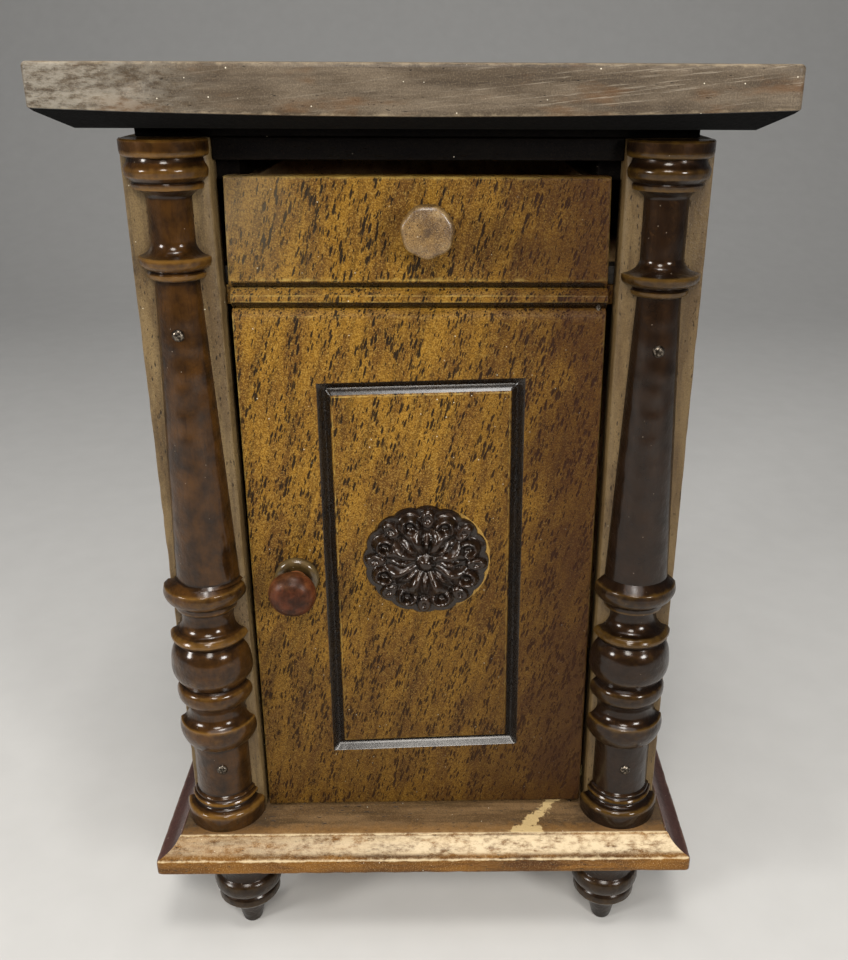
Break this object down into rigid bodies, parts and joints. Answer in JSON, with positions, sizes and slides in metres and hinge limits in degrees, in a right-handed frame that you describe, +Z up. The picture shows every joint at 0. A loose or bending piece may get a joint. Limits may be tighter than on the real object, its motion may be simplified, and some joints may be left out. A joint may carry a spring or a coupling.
{
  "type": "miniature bedside cabinet",
  "caption": "Miniature bedside cabinet with a drawer above a door, split turned columns, a carved rosette, a moulded plinth and turned feet.",
  "frame": {"origin": "centre of the footprint, on the floor under the feet", "axes": "+Z up, -Y out of the front, +X to the right as seen from the front"},
  "size_m": [0.18, 0.1224, 0.273],
  "materials": {
    "worn_wood": "stained, varnish worn to grey-brown with bare arrises",
    "carcass_wood": "dark stain, rubbed satin varnish",
    "front_wood": "open-pored, thin satin varnish",
    "turned_wood": "near-black glossy varnish",
    "knob_wood": "pale, worn, satin",
    "inner_wood": "bare, unvarnished",
    "steel": "tarnished wire"
  },
  "bodies": {
    "cabinet": {"top_board": "worn_wood", "sub_top": "carcass_wood", "frieze_rail": "carcass_wood", "left_side": "carcass_wood", "right_side": "carcass_wood", "back_panel": "inner_wood", "left_post": "carcass_wood", "right_post": "carcass_wood", "left_column": "turned_wood", "right_column": "turned_wood", "left_upper_brad": "steel", "left_lower_brad": "steel", "right_upper_brad": "steel", "right_lower_brad": "steel", "dividing_shelf": "front_wood", "left_shelf_cleat": "inner_wood", "right_shelf_cleat": "inner_wood", "left_drawer_guide": "inner_wood", "right_drawer_guide": "inner_wood", "left_drawer_kicker": "inner_wood", "right_drawer_kicker": "inner_wood", "base_board": "carcass_wood", "plinth_front": "worn_wood", "plinth_left": "carcass_wood", "plinth_right": "carcass_wood", "front_left_foot": "turned_wood", "front_right_foot": "turned_wood", "back_left_foot": "turned_wood", "back_right_foot": "turned_wood"},
    "drawer": {"drawer_front": "front_wood", "drawer_knob": "knob_wood", "drawer_left_side": "inner_wood", "drawer_right_side": "inner_wood", "drawer_back": "inner_wood", "drawer_bottom": "inner_wood"},
    "door": {"door_board": "front_wood", "rosette": "turned_wood", "knob_collar": "turned_wood", "upper_pivot_pin": "steel", "lower_pivot_pin": "steel"},
    "door_latch": {"door_knob": "turned_wood", "latch_tongue": "inner_wood"}
  },
  "joints": [
    {"name": "drawer_slide", "type": "slide", "parent": "cabinet", "child": "drawer", "axis": [0, -1, 0], "range_m": [0, 0.055]},
    {"name": "door_hinge", "type": "hinge", "parent": "cabinet", "child": "door", "pos_m": [0.0486, -0.0393, 0.127], "axis": [0, 0, 1], "range_deg": [0, 90]},
    {"name": "latch_turn", "type": "hinge", "parent": "door", "child": "door_latch", "pos_m": [-0.0378, -0.0413, 0.1292], "axis": [0, -1, 0], "range_deg": [0, 90]}
  ]
}
